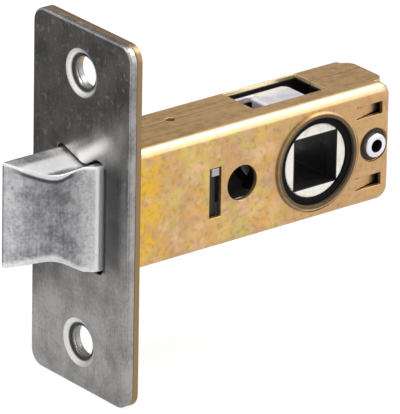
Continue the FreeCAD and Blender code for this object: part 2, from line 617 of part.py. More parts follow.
def build_yoke():
    """The folded strip that draws the bolt: a web behind it, two straps and a lip on each."""
    body = new_body("yoke")
    web = box_points(minus(STRAP_Y), STRAP_Y, minus(STRAP_OUT), STRAP_OUT)
    extrude(body, "Pad", "YZ_Plane", web, "bolt_tail", WEB_BACK)
    strap = box_points("bolt_tail", YOKE_END, minus(STRAP_Y), STRAP_Y)
    extrude(body, "Pad", "XY_Plane", strap, STRAP_IN, STRAP_OUT)
    extrude(body, "Pad", "XY_Plane", strap, minus(STRAP_OUT), minus(STRAP_IN))
    front, rear, outside = value("bolt_tail"), value(YOKE_END), value(STRAP_OUT)
    round_edges(body, "strap_corner", lambda edge, middle: runs_along(edge, 1) and near(middle.x, front))
    round_edges(body, "strap_corner", lambda edge, middle: runs_along(edge, 2) and near(middle.x, rear))
    opening = box_points(WINDOW_START, LIP_X, f"{LOBE_LOW} - lobe_gap", f"{LOBE_HIGH} + lobe_gap")
    extrude(body, "Pocket", "XY_Plane", opening, f"-{STRAP_OUT} - overcut", f"{STRAP_OUT} + overcut")
    for bottom, top in ((LIP_Z, STRAP_OUT), (minus(STRAP_OUT), minus(LIP_Z))):
        lip = box_points(LOBE_LOW, LOBE_HIGH, bottom, top)
        extrude(body, "Pad", "YZ_Plane", lip, LIP_X, f"{LIP_X} + strap_thick")
    fold = value(LIP_X)
    round_edges(
        body,
        "lip_bend",
        lambda edge, middle: runs_along(edge, 1) and near(middle.x, fold) and near(abs(middle.z), outside),
    )
    spring = ("0", "0", POCKET_RADIUS)
    extrude(body, "Pocket", "YZ_Plane", spring, "bolt_tail - overcut", f"{WEB_BACK} + overcut")
    for across, up in yoke_rivet_places():
        hole = (across, up, "yoke_rivet_dia / 2 + rivet_fit")
        extrude(body, "Pocket", "YZ_Plane", hole, "bolt_tail - overcut", f"{WEB_BACK} + overcut")
    return body


def build_spring_plate():
    """The plate across the case that backs the spring, held by a tab in each side slot."""
    body = new_body("spring_plate")
    half_width, half_height = f"({INNER_Y} - support_gap)", f"({STRAP_IN} - support_strap_gap)"
    outline = box_points(minus(half_width), half_width, minus(half_height), half_height)
    extrude(body, "Pad", "YZ_Plane", outline, SUPPORT_X, SUPPORT_BACK)
    tab_top = "(slot_above - tab_gap)"
    tabs = box_points(minus(CASE_Y), CASE_Y, f"{tab_top} - tab_height", tab_top)
    extrude(body, "Pad", "YZ_Plane", tabs, SUPPORT_X, SUPPORT_BACK)
    neck = ("0", "0", "pin_neck / 2 + rivet_fit")
    extrude(body, "Pocket", "YZ_Plane", neck, f"{SUPPORT_X} - overcut", f"{SUPPORT_BACK} + overcut")
    return body


def build_spring_guide_pin():
    """The pin inside the spring, peened over behind the spring plate."""
    body = new_body("spring_guide_pin")
    tip = "(pocket_floor + bolt_travel + pin_gap)"
    head = f"({SUPPORT_BACK} + pin_head)"
    profile = [
        (tip, "0"),
        (tip, "pin_dia / 2 - pin_point"),
        (f"{tip} + pin_point", "pin_dia / 2"),
        (SUPPORT_X, "pin_dia / 2"),
        (SUPPORT_X, "pin_neck / 2"),
        (SUPPORT_BACK, "pin_neck / 2"),
        (SUPPORT_BACK, "pin_dia / 2"),
        (f"{head} - pin_head / 2", "pin_dia / 2"),
        (head, "pin_neck / 2"),
        (head, "0"),
    ]
    turn(body, "Revolution", "0", profile)
    return body


def build_bolt_spring():
    """The coil spring from the floor of the bolt's pocket to the spring plate."""
    start = "(pocket_floor + spring_wire / 2 + spring_seat)"
    length = f"({SUPPORT_X} - spring_wire / 2 - spring_seat - {start})"
    coil_radius = "(spring_dia / 2 - spring_wire / 2)"
    along_x = FreeCAD.Rotation(FreeCAD.Vector(0, 1, 0), 90)
    coil = doc.addObject("Part::Helix", "spring_coil")
    coil.Placement = FreeCAD.Placement(FreeCAD.Vector(), along_x)
    coil.setExpression("Pitch", link(f"{length} / spring_turns"))
    coil.setExpression("Height", link(length))
    coil.setExpression("Radius", link(coil_radius))
    coil.setExpression("Placement.Base.x", link(start))
    wire = doc.addObject("Part::Circle", "spring_wire_section")
    wire.Placement = FreeCAD.Placement(FreeCAD.Vector(), FreeCAD.Rotation(FreeCAD.Vector(1, 0, 0), 90))
    wire.setExpression("Radius", link("spring_wire / 2"))
    wire.setExpression("Placement.Base.x", link(start))
    wire.setExpression("Placement.Base.z", link(minus(coil_radius)))
    spring = doc.addObject("Part::Sweep", "bolt_spring")
    spring.Label = "bolt_spring"
    spring.Sections = [wire]
    doc.recompute()
    spring.Spine = (coil, [f"Edge{number}" for number in range(1, len(coil.Shape.Edges) + 1)])
    spring.Solid = True
    spring.Frenet = True
    return spring


def lobe_point(forward, out, side):
    """Returns a point of a lobe, turned forward by its lean. Side is 1 above the axis, -1 below."""
    lean = "lobe_lean * 1deg"
    across = f"backset - ({forward}) * cos({lean}) - ({out}) * sin({lean})"
    up = f"{side} * (({out}) * cos({lean}) - ({forward}) * sin({lean}))"
    return across, up


def spindle_hole(body, end):
    """Cuts the spindle's square through a piece of the follower."""
    hole = box_points("backset - square / 2", "backset + square / 2", "-square / 2", "square / 2")
    extrude(body, "Pocket", "XZ_Plane", hole, f"-{end} - overcut", f"{end} + overcut")


def build_follower():
    """The follower's core, with the spindle's square and a lobe above and below for the yoke's lips."""
    body = new_body("follower")
    ring(body, "Pad", "backset", CORE_RADIUS, minus(CORE_END), CORE_END)
    for side in (1, -1):
        outline = [
            lobe_point("lobe_foot", "lobe_root", side),
            lobe_point("0", "lobe_root", side),
            lobe_point("-lobe_tip", "lobe_reach", side),
            lobe_point("lobe_tip", "lobe_reach", side),
        ]
        extrude(body, "Pad", "XZ_Plane", outline, LOBE_LOW, LOBE_HIGH)
        tip = (*lobe_point("0", "lobe_reach", side), "lobe_tip")
        extrude(body, "Pad", "XZ_Plane", tip, LOBE_LOW, LOBE_HIGH)
    spindle_hole(body, CORE_END)
    return body


def build_follower_cap(label, is_near):
    """One of the follower's end caps: a hub that turns in a bush, and a shoulder behind that bush."""
    body = new_body(label)
    outer = f"({CASE_Y} - hub_inset)"
    hub = (minus(outer), minus(CORE_END)) if is_near else (CORE_END, outer)
    shoulder = (minus(CAP_STOP), minus(CORE_END)) if is_near else (CORE_END, CAP_STOP)
    ring(body, "Pad", "backset", HUB_RADIUS, *hub)
    face = value(outer)
    round_edges(body, "hub_edge", lambda edge, middle: near(abs(middle.y), face))
    ring(body, "Pad", "backset", f"{HUB_RADIUS} + shoulder_step", *shoulder)
    spindle_hole(body, outer)
    return body


def build_follower_bush(label, is_near):
    """One of the two flanged bushes that the hubs of the follower's caps turn in."""
    body = new_body(label)
    outer = f"({CASE_Y} - bush_inset)"
    levels = (minus(outer), minus(BUSH_BACK)) if is_near else (BUSH_BACK, outer)
    flange = (minus(INNER_Y), minus(BUSH_BACK)) if is_near else (BUSH_BACK, INNER_Y)
    past = (f"{levels[0]} - overcut", f"{levels[1]} + overcut")
    ring(body, "Pad", "backset", f"{BEARING_RADIUS} - rivet_fit", *levels)
    ring(body, "Pad", "backset", f"{BEARING_RADIUS} + bush_flange", *flange)
    ring(body, "Pocket", "backset", f"{HUB_RADIUS} + bearing_fit", *past)
    return body


def check(parts):
    """Stops if anything in the document failed or a sub-part isn't one or more sound solids."""
    for item in doc.Objects:
        if "Invalid" in item.State or "Error" in item.State:
            raise RuntimeError(f"{item.Label} failed: {item.State}")
    for part in parts:
        if part.Shape.isNull() or not part.Shape.isValid() or not part.Shape.Solids:
            raise RuntimeError(f"{part.Label} has no sound solid")


def main():
    """Builds every sub-part, checks them and writes each to its own file."""
    parts = [
        build_faceplate(),
        build_fixing_plate(),
        build_case_half("case_near_half", True),
        build_case_half("case_far_half", False),
        build_front_rivets(),
        build_rear_rivet(),
        build_rear_spacer(),
        build_latch_bolt(),
        build_yoke(),
        build_yoke_rivets(),
        build_spring_plate(),
        build_spring_guide_pin(),
        build_bolt_spring(),
        build_follower(),
        build_follower_cap("follower_cap_near", True),
        build_follower_cap("follower_cap_far", False),
        build_follower_bush("follower_bush_near", True),
        build_follower_bush("follower_bush_far", False),
    ]
    doc.recompute()
    check(parts)
    os.makedirs("parts", exist_ok=True)
    for part in parts:
        part.Shape.exportStep(f"parts/{part.Label}.step")
        print(part.Label, len(part.Shape.Solids), round(part.Shape.Volume, 2), part.Shape.BoundBox)


main()
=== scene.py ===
"""Looks of the tubular door latch: plated, cast and moulded finishes, softened edges and a studio.

Everything is in metres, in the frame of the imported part: the origin at the centre of the faceplate's
front, +X into the door and +Z up. The bevel of the bolt faces -Y.
"""

import json
import logging
import math
from dataclasses import dataclass, field
from enum import Enum
from typing import Dict, List, Sequence, Tuple, Union

import bpy
from mathutils import Matrix, Vector


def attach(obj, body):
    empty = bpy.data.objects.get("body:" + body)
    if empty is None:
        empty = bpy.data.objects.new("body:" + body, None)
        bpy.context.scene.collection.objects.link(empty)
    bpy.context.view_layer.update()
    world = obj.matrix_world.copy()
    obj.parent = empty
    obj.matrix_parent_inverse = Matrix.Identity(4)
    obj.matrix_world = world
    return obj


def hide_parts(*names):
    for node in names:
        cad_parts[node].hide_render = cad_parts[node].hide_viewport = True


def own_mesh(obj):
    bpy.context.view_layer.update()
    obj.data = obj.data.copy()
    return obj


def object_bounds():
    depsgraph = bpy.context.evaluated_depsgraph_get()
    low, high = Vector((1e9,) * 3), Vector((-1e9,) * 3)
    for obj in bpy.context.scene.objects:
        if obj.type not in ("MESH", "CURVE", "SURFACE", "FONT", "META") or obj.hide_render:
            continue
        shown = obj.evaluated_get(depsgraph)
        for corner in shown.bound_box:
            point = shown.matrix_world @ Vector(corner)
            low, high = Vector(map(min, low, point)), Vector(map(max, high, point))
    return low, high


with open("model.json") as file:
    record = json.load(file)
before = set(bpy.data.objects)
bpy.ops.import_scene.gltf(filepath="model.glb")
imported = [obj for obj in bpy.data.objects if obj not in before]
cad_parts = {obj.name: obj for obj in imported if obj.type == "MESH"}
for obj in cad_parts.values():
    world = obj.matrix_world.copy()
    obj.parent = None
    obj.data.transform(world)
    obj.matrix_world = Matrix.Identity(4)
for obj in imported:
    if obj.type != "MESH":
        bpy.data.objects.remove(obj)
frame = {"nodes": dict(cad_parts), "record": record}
CAD_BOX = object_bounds()

MM = 0.001
LOG = logging.getLogger("latch")
SCREW_HEIGHT = 21.5

Colour = Tuple[float, float, float]
Triple = Tuple[float, float, float]
Operand = Union["Wire", float]


class Body(Enum):
    """The moving groups of the part."""

    CASE = "case"
    BOLT = "bolt"
    FOLLOWER = "follower"


class Grain(Enum):
    """The way a brushed or rolled surface runs, as a stretch of its pattern along X, Y and Z."""

    ALONG_X = (0.05, 1.0, 1.0)
    ALONG_Z = (1.0, 1.0, 0.05)
    NONE = (1.0, 1.0, 1.0)


class Wire:
    """One output of a node tree, on which sums can be written."""

    def __init__(self, graph: "NodeGraph", socket: bpy.types.NodeSocket) -> None:
        """Keeps the tree and the socket.

        Args:
            graph: the tree that the socket belongs to.
            socket: the output that this wire starts from.
        """
        self.graph = graph
        self.socket = socket

    def sum(self, operation: str, first: Operand, second: Operand) -> "Wire":
        """Adds one Math node.

        Args:
            operation: the Math node's operation.
            first: its first value.
            second: its second value.

        Returns:
            The node's output.
        """
        return self.graph.node("ShaderNodeMath", {"operation": operation}, {0: first, 1: second})

    def __add__(self, other: Operand) -> "Wire":
        """Returns self + other."""
        return self.sum("ADD", self, other)

    def __radd__(self, other: Operand) -> "Wire":
        """Returns other + self."""
        return self.sum("ADD", other, self)

    def __sub__(self, other: Operand) -> "Wire":
        """Returns self - other."""
        return self.sum("SUBTRACT", self, other)

    def __rsub__(self, other: Operand) -> "Wire":
        """Returns other - self."""
        return self.sum("SUBTRACT", other, self)

    def __mul__(self, other: Operand) -> "Wire":
        """Returns self * other."""
        return self.sum("MULTIPLY", self, other)

    def __rmul__(self, other: Operand) -> "Wire":
        """Returns other * self."""
        return self.sum("MULTIPLY", other, self)

    def __truediv__(self, other: Operand) -> "Wire":
        """Returns self / other."""
        return self.sum("DIVIDE", self, other)

    def __rtruediv__(self, other: Operand) -> "Wire":
        """Returns other / self."""
        return self.sum("DIVIDE", other, self)

    def __pow__(self, other: Operand) -> "Wire":
        """Returns self to the power of other."""
        return self.sum("POWER", self, other)

    def __rpow__(self, other: Operand) -> "Wire":
        """Returns other to the power of self."""
        return self.sum("POWER", other, self)

    def most(self, other: Operand) -> "Wire":
        """Returns the larger of self and other."""
        return self.sum("MAXIMUM", self, other)

    def step(self, low: float, high: float) -> "Wire":
        """Rises smoothly from 0 at one value to 1 at another.

        Args:
            low: the value that gives 0.
            high: the value that gives 1.

        Returns:
            The eased share.
        """
        settings = {"interpolation_type": "SMOOTHSTEP"}
        return self.graph.node("ShaderNodeMapRange", settings, {"Value": self, 1: low, 2: high})


@dataclass(frozen=True)
class Cloud:
    """One layer of patches in a finish: its colour, its pattern and how far the pattern shows."""

    colour: Colour
    size: float
    detail: float
    shift: float
    low: float
    high: float
    share: float = 1.0


class NodeGraph:
    """A node tree, of a material or of the world."""

    def __init__(self, tree: bpy.types.NodeTree) -> None:
        """Keeps the tree.

        Args:
            tree: the tree to add nodes to.
        """
        self.tree = tree

    def first(self, kind: str) -> bpy.types.Node:
        """Returns the tree's own node of one type."""
        return next(node for node in self.tree.nodes if node.type == kind)

    def node(self, kind: str, settings: Dict, sockets: Dict, output: Union[str, int] = 0) -> Wire:
        """Adds any node.

        Args:
            kind: the node's type.
            settings: its properties.
            sockets: values or wires for its inputs, by name or number.
            output: the output that is wanted, by name or number.

        Returns:
            That output.
        """
        made = self.tree.nodes.new(kind)
        for key, setting in settings.items():
            setattr(made, key, setting)
        for key, value in sockets.items():
            self.feed(self.socket(made.inputs, key), value)
        return Wire(self, self.socket(made.outputs, output))

    @staticmethod
    def socket(sockets: Sequence, key: Union[str, int]) -> bpy.types.NodeSocket:
        """Finds a socket.

        Args:
            sockets: a node's inputs or outputs.
            key: the socket's number, name or identifier.

        Returns:
            The socket.
        """
        if isinstance(key, int):
            return sockets[key]
        return next(item for item in sockets if key in (item.identifier, item.name))

    def feed(self, socket: bpy.types.NodeSocket, value: Union[Operand, Sequence[float]]) -> None:
        """Links a wire to an input, or sets the input's own value.

        Args:
            socket: the input.
            value: a wire, a number, a colour or a vector.
        """
        if isinstance(value, Wire):
            self.tree.links.new(value.socket, socket)
        elif socket.type == "RGBA":
            socket.default_value = (*value, 1.0)
        else:
            socket.default_value = value

    def seen(self) -> Wire:
        """Picks out the rays that show the background: seen straight, mirrored or through glass.

        Returns:
            1 for these rays and 0 for the rest.
        """
        rays = [f"Is {kind} Ray" for kind in ("Camera", "Glossy", "Transmission")]
        straight, mirrored, clear = (self.node("ShaderNodeLightPath", {}, {}, ray) for ray in rays)
        return straight.most(mirrored.most(clear))


class FinishGraph(NodeGraph):
    """The node tree of one material, written in millimetres of the part's own frame."""

    def __init__(self, name: str) -> None:
        """Starts a material with a Principled shader.

        Args:
            name: the material's name.
        """
        self.material = bpy.data.materials.new(name)
        self.material.use_nodes = True
        super().__init__(self.material.node_tree)
        self.shader = self.first("BSDF_PRINCIPLED")
        place = self.node("ShaderNodeTexCoord", {}, {}, "Object")
        self.place = self.node("ShaderNodeMapping", {}, {"Vector": place, "Scale": (1 / MM,) * 3})

    def set(self, **sockets: Union[Operand, Sequence[float]]) -> None:
        """Feeds the shader's inputs, named with underscores for spaces."""
        for name, value in sockets.items():
            self.feed(self.shader.inputs[name.replace("_", " ").title().replace("Ior", "IOR")], value)

    def axis(self, letter: str) -> Wire:
        """Returns one coordinate in millimetres."""
        return self.node("ShaderNodeSeparateXYZ", {}, {"Vector": self.place}, letter)

    def within(self, letter: str, middle: float, half: float, blur: float = 0.1) -> Wire:
        """Returns 1 within a distance of a place along one axis, and 0 beyond it.

        Args:
            letter: the axis.
            middle: the place along it, in millimetres.
            half: the distance, in millimetres.
            blur: the width of the change from 1 to 0.

        Returns:
            The mask.
        """
        return self.size(self.axis(letter) - middle).step(half + blur, half)

    def size(self, value: Wire) -> Wire:
        """Returns a value without its sign."""
        return self.node("ShaderNodeMath", {"operation": "ABSOLUTE"}, {0: value})

    def facing(self, letter: str) -> Wire:
        """Returns how far the surface faces along one axis, from -1 to 1."""
        normal = self.node("ShaderNodeNewGeometry", {}, {}, "True Normal")
        return self.node("ShaderNodeSeparateXYZ", {}, {"Vector": normal}, letter)

    def radius(self, letters: str, first: float, second: float) -> Wire:
        """Returns the distance from a line along one axis, in millimetres.

        Args:
            letters: the two axes that the line is square to.
            first: the line's place along the first of them.
            second: the line's place along the second.

        Returns:
            The distance.
        """
        across, up = self.axis(letters[0]) - first, self.axis(letters[1]) - second
        return (across * across + up * up) ** 0.5

    def screw_radius(self) -> Wire:
        """Returns the distance from the nearer screw hole's axis, in millimetres."""
        across, up = self.axis("Y"), self.size(self.axis("Z")) - SCREW_HEIGHT
        return (across * across + up * up) ** 0.5

    def noise(self, size: float, detail: float, grain: Grain = Grain.NONE, shift: float = 0.0) -> Wire:
        """Adds a noise pattern, from 0 to 1.

        Args:
            size: the width of its patches, in millimetres.
            detail: how many finer layers it has.
            grain: the way that it is drawn out.
            shift: moves the pattern, so that two of one size differ.

        Returns:
            The pattern.
        """
        scale = tuple(share / size for share in grain.value)
        placed = self.node(
            "ShaderNodeMapping", {}, {"Vector": self.place, "Scale": scale, "Location": (shift, shift, shift)}
        )
        return self.node("ShaderNodeTexNoise", {}, {"Vector": placed, "Scale": 1.0, "Detail": detail})

    def mix(self, share: Operand, first: Union[Wire, Colour], second: Union[Wire, Colour]) -> Wire:
        """Mixes two colours.

        Args:
            share: how much of the second there is, from 0 to 1.
            first: the first colour.
            second: the second colour.

        Returns:
            The mixed colour.
        """
        sockets = {"Factor_Float": share, "A_Color": first, "B_Color": second}
        return self.node("ShaderNodeMix", {"data_type": "RGBA"}, sockets, "Result_Color")

    def clouded(self, base: Union[Wire, Colour], cloud: Cloud) -> Wire:
        """Lays one layer of patches over a colour.

        Args:
            base: the colour below.
            cloud: the layer.

        Returns:
            The patched colour.
        """
        patches = self.noise(cloud.size, cloud.detail, shift=cloud.shift).step(cloud.low, cloud.high)
        return self.mix(patches * cloud.share, base, cloud.colour)

    def bump(self, height: Wire, depth: float) -> None:
        """Gives the surface relief.

        Args:
            height: the relief, from 0 to 1.
            depth: how deep it is, in millimetres.
        """
        sockets = {"Height": height, "Distance": depth * MM, "Strength": 1.0}
        self.set(normal=self.node("ShaderNodeBump", {}, sockets))


@dataclass(frozen=True)
class Finish:
    """A surface finish, with the slot that the record names it by."""

    slot: str

    def make(self) -> bpy.types.Material:
        """Makes the finish.

        Returns:
            Its material.
        """
        graph = FinishGraph(self.slot)
        self.paint(graph)
        return graph.material

    def paint(self, graph: FinishGraph) -> None:
        """Draws the finish in a node tree."""
        raise NotImplementedError


@dataclass(frozen=True)
class SatinNickel(Finish):
    """The faceplate's satin plate: grey, brushed along its height, with cloudy and scuffed areas."""

    light: Colour = (0.37, 0.36, 0.35)
    dark: Colour = (0.19, 0.185, 0.18)
    painted_shade: Colour = (0.05, 0.05, 0.05)
    bare_and_highlight: Colour = (0.86, 0.85, 0.84)
    rough: float = 0.29
    rim_side: float = -5.85
    rim_half: float = 0.32
    rim_height: float = 8.0
    bolt_shade_side: float = -7.6
    bolt_shade_half: float = 1.2
    bolt_shade_middle: float = 1.0
    bolt_shade_height: float = 6.0
    sink: float = 3.75
    sink_depth: float = 0.7
    lip: float = 2.85
    lip_blur: float = 0.3
    glint_slope: Tuple[float, float] = (0.567, 0.824)
    glint_line: float = 6.76
    glint_half: float = 1.5
    glint_start: float = 3.6
    glint_end: float = 15.5
    glint_fade: float = 7.5

    def paint(self, graph: FinishGraph) -> None:
        """Draws the brushing, the clouds and a few scuffs, with painted shade beside the bolt's mouth and in
        the screw holes' throats, and painted highlights on the countersinks and in a streak up from the
        mouth.

        Args:
            graph: the finish's node tree.
        """
        brushed = graph.noise(0.22, 4.0, Grain.ALONG_Z)
        clouds = graph.noise(5.0, 6.0, shift=3.1)
        scuffs = graph.noise(1.1, 6.0, shift=7.7).step(0.56, 0.70)
        specks = graph.noise(0.5, 3.0, shift=13.0)
        tone = (clouds * 0.55 + brushed * 0.2 + specks * 0.25).step(0.36, 0.64)
        base = graph.mix(tone, self.dark, self.light)
        base = graph.mix(scuffs * 0.35, base, self.light)
        # Painted shade: a wide band beside the bolt's mouth and a dark line along the mouth's edge.
        bolt_shade, rim = self.mouth_shade(graph)
        base = graph.mix(rim, graph.mix(bolt_shade * 0.7, base, self.painted_shade), self.painted_shade)
        cone, throat = self.sinks(graph)
        # Painted highlight: a bright streak up from the mouth's corner, joined with the countersinks' cones.
        highlight = (self.highlight_band(graph) * 0.9).most(cone)
        base = graph.mix(throat, graph.mix(highlight, base, self.bare_and_highlight), self.painted_shade)
        graph.set(base_color=base, metallic=1.0 - highlight * 0.7)
        graph.set(roughness=self.rough + brushed * 0.08 + scuffs * 0.12)
        graph.bump(brushed * 0.6 + scuffs * 0.4, 0.014)

    def mouth_shade(self, graph: FinishGraph) -> Tuple[Wire, Wire]:
        """Marks the painted shade beside the bolt's mouth.

        Args:
            graph: the finish's node tree.

        Returns:
            The wide band of painted shade, and the painted dark line along the mouth's edge.
        """
        bolt_shade = graph.within("Y", self.bolt_shade_side, self.bolt_shade_half, 2.0)
        bolt_shade = bolt_shade * graph.within("Z", self.bolt_shade_middle, self.bolt_shade_height, 4.0)
        rim = graph.within("Y", self.rim_side, self.rim_half, 0.2)
        return bolt_shade, rim * graph.within("Z", 0.0, self.rim_height, 0.5)

    def highlight_band(self, graph: FinishGraph) -> Wire:
        """Marks the painted highlight: a streak that runs up from the mouth's corner.

        Args:
            graph: the finish's node tree.

        Returns:
            The streak.
        """
        across, above = graph.axis("Y"), graph.axis("Z")
        rise, run = self.glint_slope
        along, off = above * rise - across * run, above * run + across * rise - self.glint_line
        streak = graph.size(off).step(self.glint_half, 0.1) * along.step(self.glint_start, self.glint_start + 1.0)
        return streak * along.step(self.glint_end, self.glint_end - self.glint_fade)

    def sinks(self, graph: FinishGraph) -> Tuple[Wire, Wire]:
        """Marks the countersinks.

        Args:
            graph: the finish's node tree.

        Returns:
            The cone with its painted highlight, brighter on one side, and the ring of painted shade in its
            throat.
        """
        reach = graph.screw_radius()
        # Painted highlight on each countersink's cone, brighter on one side, and painted shade in its throat.
        cone = reach.step(self.sink + 0.05, self.sink) * reach.step(self.lip, self.lip + self.lip_blur)
        cone = cone * (0.3 + graph.axis("Y").step(-2.0, 1.5) * 0.7)
        throat = reach.step(self.lip + self.lip_blur, self.lip)
        return cone, throat * graph.axis("X").step(self.sink_depth + 0.2, self.sink_depth)


@dataclass(frozen=True)
class YellowZinc(Finish):
    """Yellow-passivated zinc on rolled sheet: golden tan, with rose, straw and grey-violet clouds."""

    gold: Colour = (0.66, 0.375, 0.10)
    rose: Colour = (0.51, 0.30, 0.145)
    violet: Colour = (0.50, 0.38, 0.30)
    deep: Colour = (0.74, 0.43, 0.03)
    brown: Colour = (0.62, 0.39, 0.18)
    dull: Colour = (0.27, 0.175, 0.09)
    cream: Colour = (0.80, 0.67, 0.42)
    shade_black: Colour = (0.020, 0.016, 0.012)
    bore: Colour = (0.30, 0.29, 0.28)
    clouds: Tuple[Cloud, ...] = (
        Cloud(rose, 5.5, 5.0, 0.0, 0.30, 0.70),
        Cloud((0.70, 0.50, 0.13), 4.0, 5.0, 11.0, 0.42, 0.72),
        Cloud((0.55, 0.44, 0.11), 3.4, 6.0, 41.0, 0.50, 0.74),
        Cloud((0.72, 0.44, 0.24), 2.6, 6.0, 53.0, 0.50, 0.72),
        Cloud(violet, 1.0, 6.0, 23.0, 0.46, 0.72, 0.5),
    )
    specks: Cloud = Cloud(dull, 0.8, 6.0, 71.0, 0.46, 0.78, 0.5)
    plate_back: float = 2.3
    bore_radius: float = 2.6
    deep_middle: float = 5.5
    deep_half: float = 2.5
    rear: float = 30.0
    rear_fade: float = 14.0
    end: float = 54.6
    half_height: float = 9.5
    inner_half_depth: float = 5.55
    inner_half_height: float = 8.85
    seam: float = 1.5
    seam_half: float = 0.22
    bend_side: float = 4.7
    bend_height: float = 8.1
    bend_blur: float = 0.5
    window: float = 37.6
    window_half: float = 7.1
    window_side: float = 5.1
    lance_height: float = 5.8
    lance_half: float = 0.92
    lance_inner: float = 3.9
    lance_start: float = 47.6
    lance_lit: float = 50.9
    lance_dark: float = 52.4
    rivet: float = 51.2
    dimple: float = 2.55
    hub: float = 40.0
    collar: float = 7.95
    collar_lip: float = 7.45

    def paint(self, graph: FinishGraph) -> None:
        """Draws the film's clouds and rolling marks, then the dull places, the painted highlights on the
        upper bends and cut edges, and the painted shade on the top and bottom, inside the case and round the
        collar and the rivet.

        Args:
            graph: the finish's node tree.
        """
        rolled = graph.noise(0.35, 5.0, Grain.ALONG_X, 1.7)
        base = self.film(graph, rolled)
        base = self.folded(graph, base, rolled)
        base = graph.mix(graph.axis("X").step(self.plate_back + 0.1, self.plate_back), base, self.dull)
        base = graph.mix(graph.screw_radius().step(self.bore_radius + 0.1, self.bore_radius), base, self.bore)
        # Painted shade inside the case, in the rivet's dimple and round the bearing's collar.
        dark = self.interior(graph).most(self.ring_shade(graph))
        graph.set(base_color=graph.mix(dark, base, self.shade_black), metallic=0.85 - dark * 0.6)
        graph.set(roughness=0.33 + rolled * 0.16 + dark * 0.3)
        graph.bump(rolled, 0.012)

    def film(self, graph: FinishGraph, rolled: Wire) -> Wire:
        """Draws the clouds of the passivated film.

        Args:
            graph: the finish's node tree.
            rolled: the sheet's rolling marks.

        Returns:
            The film's colour.
        """
        base = self.gold
        for cloud in self.clouds:
            base = graph.clouded(base, cloud)
        patches = graph.noise(2.8, 3.0, shift=31.0).step(0.34, 0.56)
        base = graph.mix(graph.within("X", self.deep_middle, self.deep_half, 4.0) * patches, base, self.deep)
        # Darker and rosier towards the rear.
        toward_rear = graph.axis("X").step(self.rear, self.rear + self.rear_fade) * 0.75
        base = graph.clouded(graph.mix(toward_rear, base, self.rose), self.specks)
        return graph.mix(rolled.step(0.50, 0.74) * 0.35, base, self.violet)

    def folded(self, graph: FinishGraph, base: Wire, rolled: Wire) -> Wire:
        """Draws the top and bottom browner as painted shade, with the film's darker streaks and their seam,
        and painted highlights on the upper bends and the window's cut edges.

        Args:
            graph: the finish's node tree.
            base: the film's colour.
            rolled: the sheet's rolling marks.

        Returns:
            The colour with these over it.
        """
        # Painted shade: the top and bottom faces browner; the darker streaks and the seam line over them are
        # the film's own.
        flat = 1.0 - graph.within("Z", 0.0, self.half_height - 0.25, 0.2)
        base = graph.mix(flat * (0.55 + rolled * 0.5), base, self.brown)
        streaks = graph.noise(0.6, 6.0, Grain.ALONG_X, 61.0) * 0.5 + graph.noise(1.3, 5.0, shift=67.0) * 0.5
        base = graph.mix(flat * streaks.step(0.44, 0.62) * 0.5, base, self.dull)
        base = graph.mix(graph.within("Y", self.seam, self.seam_half) * flat, base, self.dull)
        # Painted highlight on the upper bends and on the window's cut edges.
        bend = 1.0 - graph.within("Y", 0.0, self.bend_side, self.bend_blur)
        bend = bend * graph.axis("Z").step(self.bend_height, self.bend_height + self.bend_blur)
        cut = graph.within("X", self.window, self.window_half) * graph.within("Y", 0.0, self.window_side)
        cut = cut * (1.0 - graph.within("Z", 0.0, self.inner_half_height))
        cut = cut * graph.size(graph.facing("Z")).step(0.6, 0.4)
        return graph.mix((bend * 0.5).most(cut), base, self.cream)

    def ring_shade(self, graph: FinishGraph) -> Wire:
        """Marks the painted shade in the rivet's dimple, inside the bearing's collar, on the collar's front
        and at its foot towards the lower rear.

        Args:
            graph: the finish's node tree.

        Returns:
            The painted shade's share.
        """
        along, above = graph.axis("X"), graph.axis("Z")
        reach = graph.radius("XZ", self.hub, 0.0)
        lower_rear = (along - self.hub - above).step(2.0, 9.0)
        foot = graph.size(reach - self.collar).step(0.28, 0.10) * lower_rear
        lip = reach.step(self.collar_lip + 0.12, self.collar_lip) * 0.95
        front = reach.step(self.collar + 0.1, self.collar) * (self.hub - along).step(1.0, 4.0) * 0.6
        sunk = graph.radius("XZ", self.rivet, 0.0).step(self.dimple + 0.12, self.dimple)
        return (sunk * 0.95).most(foot.most(lip.most(front)) * 0.85)

    def interior(self, graph: FinishGraph) -> Wire:
        """Marks the painted shade inside the case, without the sloping tongues that are pressed in at its
        rear.

        Args:
            graph: the finish's node tree.

        Returns:
            The painted shade's share.
        """
        along, above = graph.axis("X"), graph.axis("Z")
        inside = graph.within("Y", 0.0, self.inner_half_depth)
        inside = inside * graph.within("Z", 0.0, self.inner_half_height)
        inside = inside * along.step(self.plate_back, self.plate_back + 0.4)
        inside = inside * along.step(self.end - 0.5, self.end - 0.7)
        lance = graph.size(graph.size(above) - self.lance_height)
        lance = lance.step(self.lance_half + 0.06, self.lance_half)
        lance = lance * along.step(self.lance_start, self.lance_start + 0.1)
        lance = lance * (1.0 - graph.within("Y", 0.0, self.lance_inner))
        return inside * (1.0 - lance * along.step(self.lance_dark, self.lance_lit))


